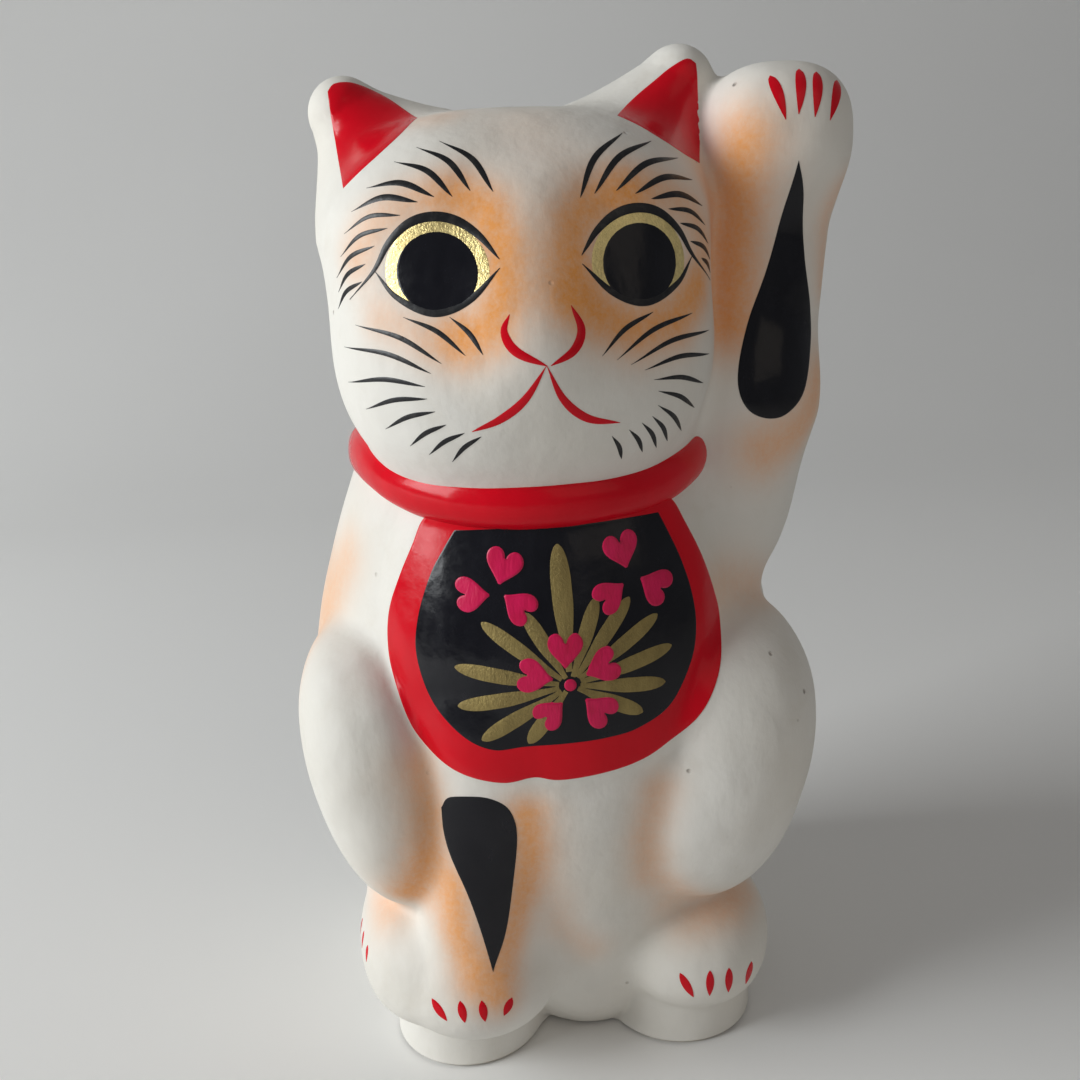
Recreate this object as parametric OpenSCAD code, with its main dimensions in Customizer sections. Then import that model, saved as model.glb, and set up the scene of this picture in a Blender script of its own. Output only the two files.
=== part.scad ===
// Beckoning cat figurine: a hollow papier-mache figure pressed as a front and a back half,
// joined with paper strips, weighted with clay and closed underneath with board and paper.
// Millimetres, +Z up, the cat faces -Y, and the origin is on the table under the figure's middle.

/* [Head] */
// Width of the head across the temples
head_w = 67; // [62:1:70]
// Depth of the head from the face to the nape
head_d = 66; // [60:1:70]
// Height of the head from the chin to the crown
head_h = 61; // [58:1:64]
// Height of the head's middle above the table
head_z = 138; // [135:1:140]
// Radius of each rounded ear tip
ear_tip_r = 5.2; // [4:0.2:6.5]

/* [Raised arm] */
// Thickness of the raised forearm
arm_d = 24; // [22:1:26]
// Width of the raised paw
paw_w = 24.4; // [22:0.2:27]
// Height of the top of the raised paw above the table
paw_top = 173; // [170:1:175]

/* [Body] */
// Width of the neck inside the head
neck_w = 56; // [50:1:60]
// Width of the hips
hip_w = 91; // [86:1:94]
// Depth of the body from belly to back
body_d = 78; // [72:1:82]
// Thickness of the collar roll
collar_d = 7.6; // [6:0.2:9]
// Width of the bib
bib_w = 53; // [46:1:56]
// How far the bib stands proud of the chest
bib_relief = 1.2; // [0.6:0.2:2]

/* [Legs] */
// Height of the left haunch; the right one stands a little taller
haunch_h = 60; // [56:1:62]
// Thickness of the straight foreleg
foreleg_d = 24; // [21:1:26]
// Width of the forefoot
foot_w = 31; // [28:1:33]

/* [Plinth] */
// Height of the plinth under the feet
plinth_h = 13; // [11:0.5:14]
// Radius of the two lobes at the plinth's front
lobe_r = 14.2; // [13:0.2:15]
// Sideways distance between the middles of the lobes
lobe_span = 41; // [39:0.5:43]
// Width of the plinth
plinth_w = 70; // [68:1:74]

/* [Construction] */
// Thickness of the paper wall
wall = 2.5; // [2:0.1:3]
// Depth at which the front and back halves meet
seam_y = -6; // [-8:0.5:-4]
// Width of the paper strips that bridge the seam inside
strip_w = 12; // [8:1:16]
// Thickness of the strips
strip_t = 0.6; // [0.4:0.1:1]
// Thickness of the grey board that closes the base
board_t = 2; // [1.5:0.1:3]
// Thickness of the cover paper under the base
paper_t = 0.6; // [0.4:0.1:1]
// Diameter of the clay weight
weight_d = 38; // [30:1:40]
// Height of the clay weight
weight_h = 11; // [8:0.5:12]

/* [Hidden] */

head_x = -4;
head_y = -10;
arm_x = 38;
body_x = -1;
body_top = 122;
hip_z = 56;
hip_y = -2;
neck_y = -6;
neck_d = 60;
seat_y = 2;
seat_w = 68;
seat_d = 56;
bib_top = 103;
bib_bottom = 63;
bib_x = -2;
notch_round = 9;
glue = 0.05;
reach = 400;
tail_r = 6;
tail_path = [[-8, 29, 16], [9, 32, 22], [17, 33, 36], [12, 33, 49]];
strip_split_z = 128;
outer_steps = 28;
inner_steps = 18;
body_rings = 12;
paper = "antiquewhite";

// ---------- shapes that the figure is built from ----------

// Signed power, which squares off the outline of a rounded block
function spow(v, p) = sign(v) * pow(abs(v), p);

// One point of a rounded block of half size h, at longitude a and latitude b
function block_point(h, p, a, b) =
    [h.x * spow(cos(b), p) * spow(cos(a), p), h.y * spow(cos(b), p) * spow(sin(a), p), h.z * spow(sin(b), p)];

// A rounded block of half size h: an ellipsoid at squareness 2, fuller corners above 2
module rounded_block(h, squareness, steps) {
    rows = steps / 2;
    p = 2 / squareness;
    ring_points = [for (r = [1:rows - 1]) for (s = [0:steps - 1])
                   block_point(h, p, s * 360 / steps, -90 + r * 180 / rows)];
    south = len(ring_points);
    north = south + 1;
    function at(r, s) = r * steps + (s % steps);
    side_faces = [for (r = [0:rows - 3]) for (s = [0:steps - 1]) each
                  [[at(r, s), at(r + 1, s), at(r, s + 1)], [at(r, s + 1), at(r + 1, s), at(r + 1, s + 1)]]];
    south_faces = [for (s = [0:steps - 1]) [south, at(0, s), at(0, s + 1)]];
    north_faces = [for (s = [0:steps - 1]) [north, at(rows - 2, s + 1), at(rows - 2, s)]];
    polyhedron(concat(ring_points, [[0, 0, -h.z], [0, 0, h.z]]),
               concat(side_faces, south_faces, north_faces), convexity = 2);
}

// A rounded mass of the given full size; inset shrinks it evenly
module blob(at, size, tilt = [0, 0, 0], squareness = 2, inset = 0) {
    translate(at)
        rotate(tilt)
            rounded_block(size / 2 - [inset, inset, inset], squareness, steps_for(inset));
}

// A limb that tapers between two ball ends
module limb(from, from_r, to, to_r, inset = 0) {
    hull() {
        translate(from) sphere(r = from_r - inset, $fn = steps_for(inset));
        translate(to) sphere(r = to_r - inset, $fn = steps_for(inset));
    }
}

// The hidden inside is built with fewer facets than the outside
function steps_for(inset) = inset > 0 ? inner_steps : outer_steps;

// ---------- the figure's form, shrunk by inset ----------

module head(inset = 0) {
    blob([head_x, head_y, head_z], [head_w, head_d, head_h], squareness = 2.8, inset = inset);
    blob([-3, -35, head_z - 4], [19, 24, 32], [-5, 0, 0], inset = inset);
}

module ears(inset = 0) {
    limb([-22.5, -9, head_z + 13], 14, [-30.8, -9, head_z + 30.5], ear_tip_r, inset);
    limb([15, -9, head_z + 14], 14, [24.5, -9, head_z + 33], ear_tip_r + 0.4, inset);
}

module raised_arm(inset = 0) {
    limb([23, -13, 80], 15, [31.5, -12, 99], arm_d / 2 + 0.5, inset);
    limb([31.5, -12, 99], arm_d / 2 + 0.5, [arm_x - 2, -13, 118], arm_d / 2 + 0.5, inset);
    limb([arm_x - 2, -13, 118], arm_d / 2 + 0.5, [arm_x, -12, 152], arm_d / 2, inset);
    blob([arm_x + 1.8, -15, paw_top - 11.5], [paw_w, 28, 23], squareness = 2.5, inset = inset);
}

// A body dimension at height z, eased from its seat value through the hips to its neck value
function along_body(z, seat, hip, neck) =
    z > hip_z ? neck + (hip - neck) * cos(90 * (z - hip_z) / (body_top - hip_z))
              : hip + (seat - hip) * pow((hip_z - z) / (hip_z - plinth_h), 2);

// One rounded ring of the body's skin
function body_ring(z, inset) =
    let (n = 2 * steps_for(inset),
         half_w = along_body(z, seat_w, hip_w, neck_w) / 2 - inset,
         half_d = along_body(z, seat_d, body_d, neck_d) / 2 - inset,
         mid_y = along_body(z, seat_y, hip_y, neck_y))
    [for (s = [0:n - 1]) let (a = s * 360 / n)
        [half_w * spow(cos(a), 0.92) + body_x, half_d * spow(sin(a), 0.92) + mid_y, z]];

// The body as one smooth stack of rings from the plinth to the neck
module torso(inset = 0) {
    n = 2 * steps_for(inset);
    foot = plinth_h - 4;
    rings = [for (r = [0:body_rings]) each body_ring(foot + (body_top - foot) * r / body_rings, inset)];
    sides = [for (r = [0:body_rings - 1]) for (s = [0:n - 1])
             let (a = r * n + s, b = r * n + (s + 1) % n) each [[a, a + n, b], [b, a + n, b + n]]];
    bottom = [for (s = [0:n - 1]) s];
    lid = [for (s = [n - 1:-1:0]) body_rings * n + s];
    polyhedron(rings, concat(sides, [bottom, lid]), convexity = 4);
}

module legs(inset = 0) {
    blob([-31, -18, 54.5], [28, 42, haunch_h], [12, -12, 0], inset = inset);
    blob([26, -22, 52.5], [36, 42, haunch_h + 4], [10, 13, 0], inset = inset);
    limb([-11, -25, 72], foreleg_d / 2, [-17, -30, 20], foreleg_d / 2, inset);
    blob([-18.5, -30, 17], [foot_w, 30, 19], inset = inset);
    blob([-30, -17, 17], [20, 40, 25], inset = inset);
    blob([22.8, -22, 17], [foot_w, 36, 23], inset = inset);
}

// The tail, curled up the back in low relief
module tail() {
    for (i = [0:len(tail_path) - 2])
        limb(tail_path[i], tail_r, tail_path[i + 1], tail_r);
}

// Outline of the plinth: two round lobes under the feet with a rounded recess between them
module plinth_outline(inset = 0) {
    offset(delta = -inset)
        offset(r = -notch_round)
            offset(delta = notch_round) {
                for (side = [-1, 1])
                    translate([side * lobe_span / 2, -21.5]) circle(r = lobe_r, $fn = 48);
                translate([0.5, 3]) resize([plinth_w, 58]) circle(r = plinth_w / 2, $fn = 60);
            }
}

module plinth(inset = 0) {
    translate([0, 0, paper_t - inset])
        linear_extrude(plinth_h - paper_t) plinth_outline(inset);
}

module collar() {
    translate([-3, -6, 108.5])
        rotate([8, 0, 0])
            scale([0.9, 1.05, 1])
                rotate_extrude($fn = 40) translate([31, 0]) circle(r = collar_d / 2, $fn = 12);
}

// Front view of the bib, hung from the collar
module bib_outline() {
    hull() {
        translate([bib_x, bib_bottom + bib_w * 0.42]) circle(r = bib_w / 2, $fn = 40);
        translate([bib_x, bib_top - 4]) square([bib_w * 0.74, 8], center = true);
    }
}

module bib() {
    intersection() {
        torso(-bib_relief);
        translate([0, seam_y - wall, 0])
            rotate([90, 0, 0]) linear_extrude(reach) bib_outline();
    }
}

// The whole figure, cut off level at the base
module figure(inset = 0) {
    intersection() {
        union() {
            head(inset);
            ears(inset);
            torso(inset);
            raised_arm(inset);
            legs(inset);
            plinth(inset);
        }
        translate([0, 0, reach / 2 + paper_t - inset]) cube(reach, center = true);
    }
}

// The moulded paper wall: outside relief, minus the hollow, which is open at the base
module moulded_wall() {
    difference() {
        union() {
            figure();
            collar();
            bib();
            tail();
        }
        figure(wall);
    }
}

// Everything in front of the seam, or behind it
module seam_side(side) {
    translate([0, seam_y + side * reach / 2, 0]) cube(reach, center = true);
}

// The paper bridge along the whole seam, lying on the inside of the wall
module seam_strip() {
    difference() {
        intersection() {
            figure(wall + glue);
            translate([0, seam_y, reach / 2 + plinth_h + board_t])
                cube([reach, strip_w, reach], center = true);
        }
        figure(wall + glue + strip_t);
    }
}

// ---------- sub-parts ----------

module front_shell() {
    color(paper) intersection() {
        moulded_wall();
        seam_side(-1);
    }
}

module back_shell() {
    color(paper) intersection() {
        moulded_wall();
        seam_side(1);
    }
}

module seam_strip_left() {
    color("wheat") intersection() {
        seam_strip();
        translate([-reach / 2, 0, 0]) cube([reach, reach, 2 * strip_split_z], center = true);
    }
}

module seam_strip_right() {
    color("wheat") intersection() {
        seam_strip();
        translate([reach / 2, 0, 0]) cube([reach, reach, 2 * strip_split_z], center = true);
    }
}

module seam_strip_top() {
    color("wheat") intersection() {
        seam_strip();
        translate([0, 0, strip_split_z + reach / 2]) cube(reach, center = true);
    }
}

module base_board() {
    color("gray") translate([0, 0, paper_t])
        linear_extrude(board_t) plinth_outline(wall + glue);
}

module ballast_weight() {
    edge = weight_h / 3;
    color("sienna") translate([1, 3, paper_t + board_t])
        rotate_extrude($fn = 64) {
            square([weight_d / 2 - edge, weight_h]);
            square([weight_d / 2, weight_h - edge]);
            translate([weight_d / 2 - edge, weight_h - edge]) circle(r = edge, $fn = 32);
        }
}

module base_paper() {
    color("ivory") linear_extrude(paper_t) plinth_outline();
}

front_shell();
back_shell();
seam_strip_left();
seam_strip_top();
seam_strip_right();
base_board();
ballast_weight();
base_paper();
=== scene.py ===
import math

import bpy
import numpy as np
from mathutils import Matrix, Vector
from mathutils.geometry import delaunay_2d_cdt


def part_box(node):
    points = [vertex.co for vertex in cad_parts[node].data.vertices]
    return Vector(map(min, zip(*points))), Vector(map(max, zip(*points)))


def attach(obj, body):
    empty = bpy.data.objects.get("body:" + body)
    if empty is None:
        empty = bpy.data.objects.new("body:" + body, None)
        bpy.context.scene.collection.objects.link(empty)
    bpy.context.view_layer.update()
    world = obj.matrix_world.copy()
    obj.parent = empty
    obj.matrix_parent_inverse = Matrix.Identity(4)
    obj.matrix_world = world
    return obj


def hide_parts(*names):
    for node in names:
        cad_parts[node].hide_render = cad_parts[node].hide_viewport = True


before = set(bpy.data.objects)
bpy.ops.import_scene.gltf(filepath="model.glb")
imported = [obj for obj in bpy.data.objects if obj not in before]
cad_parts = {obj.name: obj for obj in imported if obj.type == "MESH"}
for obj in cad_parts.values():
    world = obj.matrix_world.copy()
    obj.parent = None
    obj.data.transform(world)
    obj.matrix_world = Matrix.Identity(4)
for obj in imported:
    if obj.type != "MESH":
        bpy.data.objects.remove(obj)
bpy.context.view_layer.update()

MM = 0.001  # sizes below are in millimetres, as in the part's own source
BODY = "root"

# ---- sizes of the figure

WALL = 2.5  # paper wall
SEAM_Y = -6.0  # the halves meet here
RIM_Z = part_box("base_paper")[1][2] / MM  # the shell stands on its cover paper
PLINTH_H = 13.0
CELL = 0.9  # size of the facets of the moulded skin
CAUTION = 0.9  # a blob's rough distance is taken a little short

HEAD = dict(at=(-3.8, -10, 137.5), size=(66.4, 66, 60))
HIP_Z, BODY_TOP = 56.0, 122.0
HIP_W, NECK_W, SEAT_W = 91.0, 56.0, 68.0
BODY_D, NECK_D, SEAT_D = 78.0, 60.0, 56.0
HIP_Y, NECK_Y, SEAT_Y = -2.0, -6.0, 2.0
CHEEK_Z = 152  # below this the head narrows
JAW_TAPER = 0.0030  # share of the width lost for each millimetre
LOBE_R = 14.2  # the plinth's lobes under the feet
PLINTH_EDGE = 2.2  # rounding of the plinth's edges
TAIL_R = 6
BIB_RELIEF = 0.7  # how far the bib stands out
BIB_RAMP = 4.0  # width of the slope up to it
UNEVENNESS = 0.07  # hand-made waviness of the whole surface

# ---- distance fields


def smooth_min(a, b, k):
    """Union of two fields with a fillet about k wide."""
    h = np.maximum(k - np.abs(a - b), 0) / k
    return np.minimum(a, b) - h * h * k / 4


def turned(p, tilt):
    """Points in the frame of a mass tilted by degrees about X, Y and Z."""
    x, y, z = p
    for axis in (2, 1, 0):
        if tilt[axis]:
            c, s = math.cos(math.radians(tilt[axis])), math.sin(math.radians(tilt[axis]))
            if axis == 2:
                x, y = c * x + s * y, -s * x + c * y
            elif axis == 1:
                x, z = c * x - s * z, s * x + c * z
            else:
                y, z = c * y + s * z, -s * y + c * z
    return x, y, z


def blob(p, at, size, tilt=(0, 0, 0), squareness=2.0):
    """An ellipsoid of full size, or a fuller rounded block above squareness 2."""
    q = turned([p[i] - at[i] for i in range(3)], tilt)
    half = [s / 2 for s in size]
    if squareness == 2.0:
        u = [q[i] / half[i] for i in range(3)]
        k0 = np.sqrt(u[0] ** 2 + u[1] ** 2 + u[2] ** 2)
        k1 = np.sqrt(sum((u[i] / half[i]) ** 2 for i in range(3)))
        return k0 * (k0 - 1) / np.maximum(k1, 1e-6)
    u = [np.abs(q[i]) / half[i] for i in range(3)]
    k0 = np.maximum(sum(a ** squareness for a in u), 1e-9) ** (1 / squareness)
    slope = np.sqrt(sum(((u[i] / k0) ** (squareness - 1) / half[i]) ** 2 for i in range(3)))
    return (k0 - 1) / np.maximum(slope, 1e-6)


def limb(p, a, ra, b, rb):
    """A limb that tapers from radius ra at a to rb at b."""
    axis = [b[i] - a[i] for i in range(3)]
    q = [p[i] - a[i] for i in range(3)]
    t = np.clip(sum(q[i] * axis[i] for i in range(3)) / sum(c * c for c in axis), 0, 1)
    return np.sqrt(sum((q[i] - axis[i] * t) ** 2 for i in range(3))) - (ra + (rb - ra) * t)


def along_body(z, seat, hip, neck):
    """A body dimension at height z, eased from the seat through the hips to the neck."""
    rise = np.clip((z - HIP_Z) / (BODY_TOP - HIP_Z), 0, 1)
    drop = np.clip((HIP_Z - z) / (HIP_Z - PLINTH_H), 0, 1.2)
    above = neck + (hip - neck) * np.cos(math.pi / 2 * rise)
    below = hip + (seat - hip) * drop ** 2
    return np.where(z > HIP_Z, above, below)


def torso(p):
    x, y, z = p
    half_w = along_body(z, SEAT_W, HIP_W, NECK_W) / 2
    half_d = along_body(z, SEAT_D, BODY_D, NECK_D) / 2
    middle_y = along_body(z, SEAT_Y, HIP_Y, NECK_Y)
    q = np.sqrt(((x + 1) / half_w) ** 2 + ((y - middle_y) / half_d) ** 2)
    side = (q - 1) * np.minimum(half_w, half_d) * CAUTION
    return np.maximum(side, np.maximum(z - BODY_TOP, PLINTH_H - 4 - z))


def plinth_plan(x, y):
    """Distance in plan to the plinth's outline: two lobes under the feet, with a recess between."""
    left = np.hypot(x + 20.0, y + 22.0) - LOBE_R
    right = np.hypot(x - 21.0, y + 21.5) - LOBE_R
    back = (np.sqrt(((x - 0.5) / 35) ** 2 + ((y - 4.5) / 27.5) ** 2) - 1) * 27.5
    return smooth_min(smooth_min(left, right, 8), back, 7)


def plinth(p):
    side = plinth_plan(p[0], p[1]) + PLINTH_EDGE
    up = np.abs(p[2] - 2) - (PLINTH_H - 2) + PLINTH_EDGE
    corner = np.sqrt(np.maximum(side, 0) ** 2 + np.maximum(up, 0) ** 2)
    return corner + np.minimum(np.maximum(side, up), 0) - PLINTH_EDGE


def head(p):
    """The head: skull, muzzle, bridge of the nose, left cheek and ears."""
    x, y, z = p
    taper = 1 + JAW_TAPER * np.minimum(z - CHEEK_Z, 0)
    d = blob(((x + 1) / taper - 1, y, z), HEAD["at"], HEAD["size"], squareness=2.8) * CAUTION
    d = smooth_min(d, blob(p, (-3.5, -25, 125), (53, 42, 41)), 12)
    d = smooth_min(d, limb(p, (-3, -38, 148), 4.5, (-3, -42.5, 132), 5.5), 9)
    d = smooth_min(d, limb(p, (-22.3, -11, 137), 13, (-22.0, -11, 126), 12.9), 2)
    deep = (x, y * 0.85, z)  # the ears are drawn out from front to back
    d = smooth_min(d, limb(deep, (-24, -8, 154), 12.5, (-30.8, -8, 168), 5.2), 6)
    d = smooth_min(d, limb(deep, (-30.5, -8, 167.7), 5.3, (-19, -8, 160.3), 8.8), 3)
    d = smooth_min(d, limb(deep, (17, -8, 157), 12, (24.8, -8, 170.8), 5.4), 8)
    return smooth_min(d, limb(deep, (25.1, -8, 170.7), 5.6, (13.8, -8, 160.6), 9.2), 3)


def raised_arm(p):
    d = limb(p, (30, -12, 99), 12, (35, -13, 118), 12.2)
    d = smooth_min(d, limb(p, (35, -13, 118), 12.2, (39, -12, 150), 11.5), 8)
    d = smooth_min(d, blob(p, (39.8, -15, 161.3), (24.4, 28, 23), squareness=2.5), 6)
    return smooth_min(d, limb(p, (22, -12, 85), 15, (30, -12, 101), 12.2), 10)


def legs(p, d):
    """The legs, filleted one by one into the body's field d."""
    foreleg = limb(p, (-13, -32.5, 66), 11.5, (-17, -30.5, 20), 12)
    foreleg = smooth_min(foreleg, blob(p, (-18.5, -30, 17), (31, 30, 19)), 5)
    d = smooth_min(d, foreleg, 4)
    d = smooth_min(d, blob(p, (-29, -18, 18), (23, 42, 27)), 3)
    d = smooth_min(d, blob(p, (22.8, -21, 17), (31, 39, 25), squareness=2.2) * CAUTION, 3)
    left = blob(p, (-31.3, -20, 56), (28, 44, 56), (8, -12, 0), squareness=2.3) * CAUTION
    right = blob(p, (26.0, -23, 56), (36, 45, 58), (6, 13, 0), squareness=2.3) * CAUTION
    return smooth_min(smooth_min(d, left, 2.2), right, 2.2)


TAIL = [(-8, 27, 15), (9, 30, 21), (17, 31, 35), (12, 31, 49)]


def tail(p):
    d = limb(p, TAIL[0], TAIL_R, TAIL[1], TAIL_R)
    for a, b in zip(TAIL[1:-1], TAIL[2:]):
        d = smooth_min(d, limb(p, a, TAIL_R, b, TAIL_R), 3)
    return d


def bib_plan(x, z):
    """Distance in front view to the bib's outline."""
    round_part = blob((x, 0 * x, z), (-2, 0, 86.5), (53, 53, 49), squareness=2.7)
    return np.maximum(round_part, z - 106)


def masses(p):
    """Head, body, limbs, tail and plinth, run together."""
    body = smooth_min(torso(p), blob(p, (0, -22, 72), (54, 44, 72)), 12)
    body = smooth_min(body, limb(p, (4, -18, 60), 20, (4, -17, 14), 17), 12)
    d = smooth_min(head(p), body, 5)
    d = smooth_min(d, raised_arm(p), 3)
    d = legs(p, d)
    d = smooth_min(d, tail(p), 3)
    return smooth_min(d, plinth(p), 1)


def form(p):
    """Signed distance to the outside of the figure, in millimetres."""
    x, y, z = p
    in_bib = np.clip(0.5 - bib_plan(x, z) / BIB_RAMP, 0, 1)
    d = masses(p) - BIB_RELIEF * in_bib * in_bib * (3 - 2 * in_bib) * (y < -20)
    uneven = np.sin(x / 5.1 + 1.2 * np.sin(z / 7.3)) * np.sin(z / 6.1 + y / 8.7)
    uneven = uneven + np.sin(y / 4.7 + x / 9.1 + z / 11.3)
    return d - UNEVENNESS * uneven


# ---- meshes from the field


def slope(p, e=0.06):
    """The gradient of the form at the points p, which are rows."""
    g = np.empty_like(p)
    for i in range(3):
        ahead, behind = p.copy(), p.copy()
        ahead[:, i] += e
        behind[:, i] -= e
        g[:, i] = (form(ahead.T) - form(behind.T)) / (2 * e)
    return g


def unit(v):
    return v / np.maximum(np.linalg.norm(v, axis=-1, keepdims=True), 1e-9)


def settled(p, held=None, rounds=3):
    """Points moved onto the form's surface; coordinates marked in held stay as they are."""
    for _ in range(rounds):
        g = slope(p)
        if held is not None:
            g = np.where(held, 0, g)
        away = form(p.T) / np.maximum((g * g).sum(1), 0.1)
        p = p - np.clip(away, -1, 1)[:, None] * g
    return p


def form_on_grid(axes, stride=4, reach=5.0):
    """The form on a grid, worked out in full only near the surface."""
    rough_axes = [a[::stride] for a in axes]
    rough = form(np.meshgrid(*rough_axes, indexing="ij"))
    nearest = [np.minimum((np.arange(len(a)) + stride // 2) // stride, len(r) - 1)
               for a, r in zip(axes, rough_axes)]
    values = rough[np.ix_(*nearest)]
    near = np.nonzero(np.abs(values) < reach)
    values[near] = form([a[i] for a, i in zip(axes, near)])
    return values


def surface_net(values):
    """Corners, in grid units, and four-sided faces of the surface where the values cross zero."""
    cells = np.array(values.shape) - 1
    total = np.zeros((3, cells.prod()))
    hits = np.zeros(cells.prod())
    rings = []
    for axis in range(3):
        u, w = (axis + 1) % 3, (axis + 2) % 3
        low = np.take(values, range(cells[axis]), axis)
        high = np.take(values, range(1, cells[axis] + 1), axis)
        at = np.argwhere((low < 0) != (high < 0))
        at = at[(at[:, u] > 0) & (at[:, u] < cells[u]) & (at[:, w] > 0) & (at[:, w] < cells[w])]
        a, b = low[tuple(at.T)], high[tuple(at.T)]
        crossing = at.astype(float)
        crossing[:, axis] += a / (a - b)
        ring = []
        for du, dw in ((0, 0), (-1, 0), (-1, -1), (0, -1)):
            beside = at.copy()
            beside[:, u] += du
            beside[:, w] += dw
            cell = np.ravel_multi_index(tuple(beside.T), cells)
            hits += np.bincount(cell, minlength=len(hits))
            for i in range(3):
                total[i] += np.bincount(cell, crossing[:, i], len(hits))
            ring.append(cell)
        ring = np.stack(ring, 1)
        rings.append(np.where((a < 0)[:, None], ring, ring[:, ::-1]))
    used, faces = np.unique(np.concatenate(rings), return_inverse=True)
    return (total[:, used] / hits[used]).T, faces.reshape(-1, 4)


def relaxed(p, faces, rounds):
    """Points evened out among their neighbours, then set back on the surface."""
    a, b = faces.ravel(), np.roll(faces, -1, 1).ravel()
    count = np.bincount(a, minlength=len(p)) + np.bincount(b, minlength=len(p))
    for _ in range(rounds):
        mean = np.stack([np.bincount(a, p[b, i], len(p)) + np.bincount(b, p[a, i], len(p))
                         for i in range(3)], 1)
        p = (p + mean / count[:, None]) / 2
    return settled(p)


def open_edges(faces):
    """The edges with a face on one side only, in their face's direction."""
    around = {}
    for face in faces:
        for a, b in zip(face, tuple(face[1:]) + tuple(face[:1])):
            around[(a, b)] = around.get((a, b), 0) + 1
    return [e for e in around if (e[1], e[0]) not in around]


def thickened(faces, count):
    """Faces of a closed sheet whose underside repeats its count top points in the same order."""
    under = [tuple(i + count for i in reversed(face)) for face in faces]
    sides = [(b, a, a + count, b + count) for a, b in open_edges(faces)]
    return [tuple(face) for face in faces] + under + sides


def piece(name, points, faces, material, normals=None, replaced=()):
    """A mesh from points in millimetres, riding on the figure's one body."""
    mesh = bpy.data.meshes.new(name)
    mesh.from_pydata((np.asarray(points) * MM).tolist(), [], [tuple(map(int, f)) for f in faces])
    mesh.polygons.foreach_set("use_smooth", [True] * len(mesh.polygons))
    if normals is not None:
        mesh.normals_split_custom_set_from_vertices(unit(np.asarray(normals)).tolist())
    mesh.materials.append(material)
    made = bpy.data.objects.new(name, mesh)
    bpy.context.scene.collection.objects.link(made)
    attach(made, BODY)
    if replaced:
        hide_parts(*replaced)
    return made


# ---- the papier-mache skin

LOW, HIGH = (-55, -53, -3), (61, 46, 182)  # the box that is searched for the surface
CREASE_H = 0.24  # height of the creases
BLUSH = [  # sprayed orange: radius, strength and the path of the spray
    (3.5, 0.95, [(-14, -42, 154), (-9.6, -43, 151.2), (-7.6, -45, 146),
                 (-7.8, -47, 140), (-9.6, -47, 135), (-14, -46, 133.8)]),
    (3.2, 0.5, [(-14, -42, 154.5), (-21, -39.5, 152.8), (-26, -37.5, 149.5), (-28.5, -36, 145.5)]),
    (3.0, 0.4, [(-14, -46, 133.6), (-19, -44, 133.8), (-25.5, -40, 136.8)]),
    (3.6, 0.9, [(11, -40, 152.8), (6.2, -42, 151.8), (3.0, -44, 149),
                (2.0, -45.5, 144.5), (2.6, -47, 139.2)]),
    (3.7, 0.9, [(2.6, -47, 139.2), (6.2, -46, 135.8), (12, -44, 133.6),
                (18, -40, 134.6), (22.5, -35.5, 139)]),
    (3.4, 0.55, [(11, -40, 153.6), (17, -37.5, 153), (22, -34, 149.5), (24.5, -31, 144.5)]),
    (6.0, 0.14, [(-1, -37, 159), (-3, -33, 164)]),
    (3.4, 0.3, [(-22, -22, 162), (-15, -26, 164)]),
    (4.8, 0.85, [(31.8, -27, 160), (31.6, -23, 152), (31.2, -22, 144), (30.6, -23, 132)]),
    (4.4, 0.6, [(36, -26, 111), (43, -24, 114), (47, -20, 121)]),
    (3.0, 0.4, [(48.4, -21, 153), (48.6, -18, 138)]),
    (4.5, 0.4, [(-36, -18, 94), (-41.5, -14, 82), (-44, -20, 74)]),
    (6.0, 0.4, [(-40, -8, 88), (-46, -6, 72)]),
    (3.7, 0.95, [(-26.5, -37, 63), (-24.8, -38, 55), (-25.5, -38, 47.5), (-28.5, -36, 39.5)]),
    (4.2, 0.5, [(-34, -27, 30), (-38, -20, 32), (-41, -12, 33)]),
    (3.2, 0.85, [(-8.4, -45, 56), (-8.0, -44, 48), (-9.2, -43, 40),
                 (-11.8, -43.5, 30), (-14.5, -45, 22)]),
    (3.5, 0.85, [(-22.0, -42, 42), (-21.2, -42, 33), (-18.5, -44, 25)]),
    (4.2, 0.35, [(23.5, -36, 88.2), (29, -30, 88.6), (37, -20, 84)]),
    (3.0, 0.45, [(13.6, -43, 58), (11.8, -42, 49), (12.8, -41, 40), (18, -40, 33)]),
    (3.6, 0.45, [(19, -38, 29), (28.6, -33, 27.5), (36.5, -25, 28.5)]),
    (3.0, 0.25, [(-3.0, -40, 56), (-3.2, -38, 42), (-3.0, -38, 30), (2, -37, 24)]),
    (9.0, 0.4, [(0, 36, 68), (6, 36, 50)]),
    (8.0, 0.35, [(-22, 22, 148), (-6, 26, 140), (16, 22, 154)]),
]
WRINKLES = [  # dry-paper creases: x, z, length, lean in degrees
    (-38, 66, 10, 72), (-35, 59, 9, 78), (-39, 53, 8, 84), (-32, 48, 7, 62), (-41, 60, 8, 66),
    (33, 68, 9, 108), (27, 60, 8, 102), (36, 57, 9, 98), (24, 50, 6, 120), (31, 47, 7, 92),
    (23.5, 23, 7, 84),
]


def creases(p):
    """Height of the shallow creases in the paper on the haunches."""
    x, y, z = p
    height = 0 * x
    for cx, cz, length, lean in WRINKLES:
        c, s = math.cos(math.radians(lean)), math.sin(math.radians(lean))
        along = (x - cx) * c + (z - cz) * s
        across = -(x - cx) * s + (z - cz) * c + 0.5 * np.sin(along / 1.7 + cx)
        fade = np.exp(-(2 * along / length) ** 4)
        height += CREASE_H * fade * np.sin(across * 2.0) * np.exp(-(across / 1.6) ** 2)
    return height * (y < -5)


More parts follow.
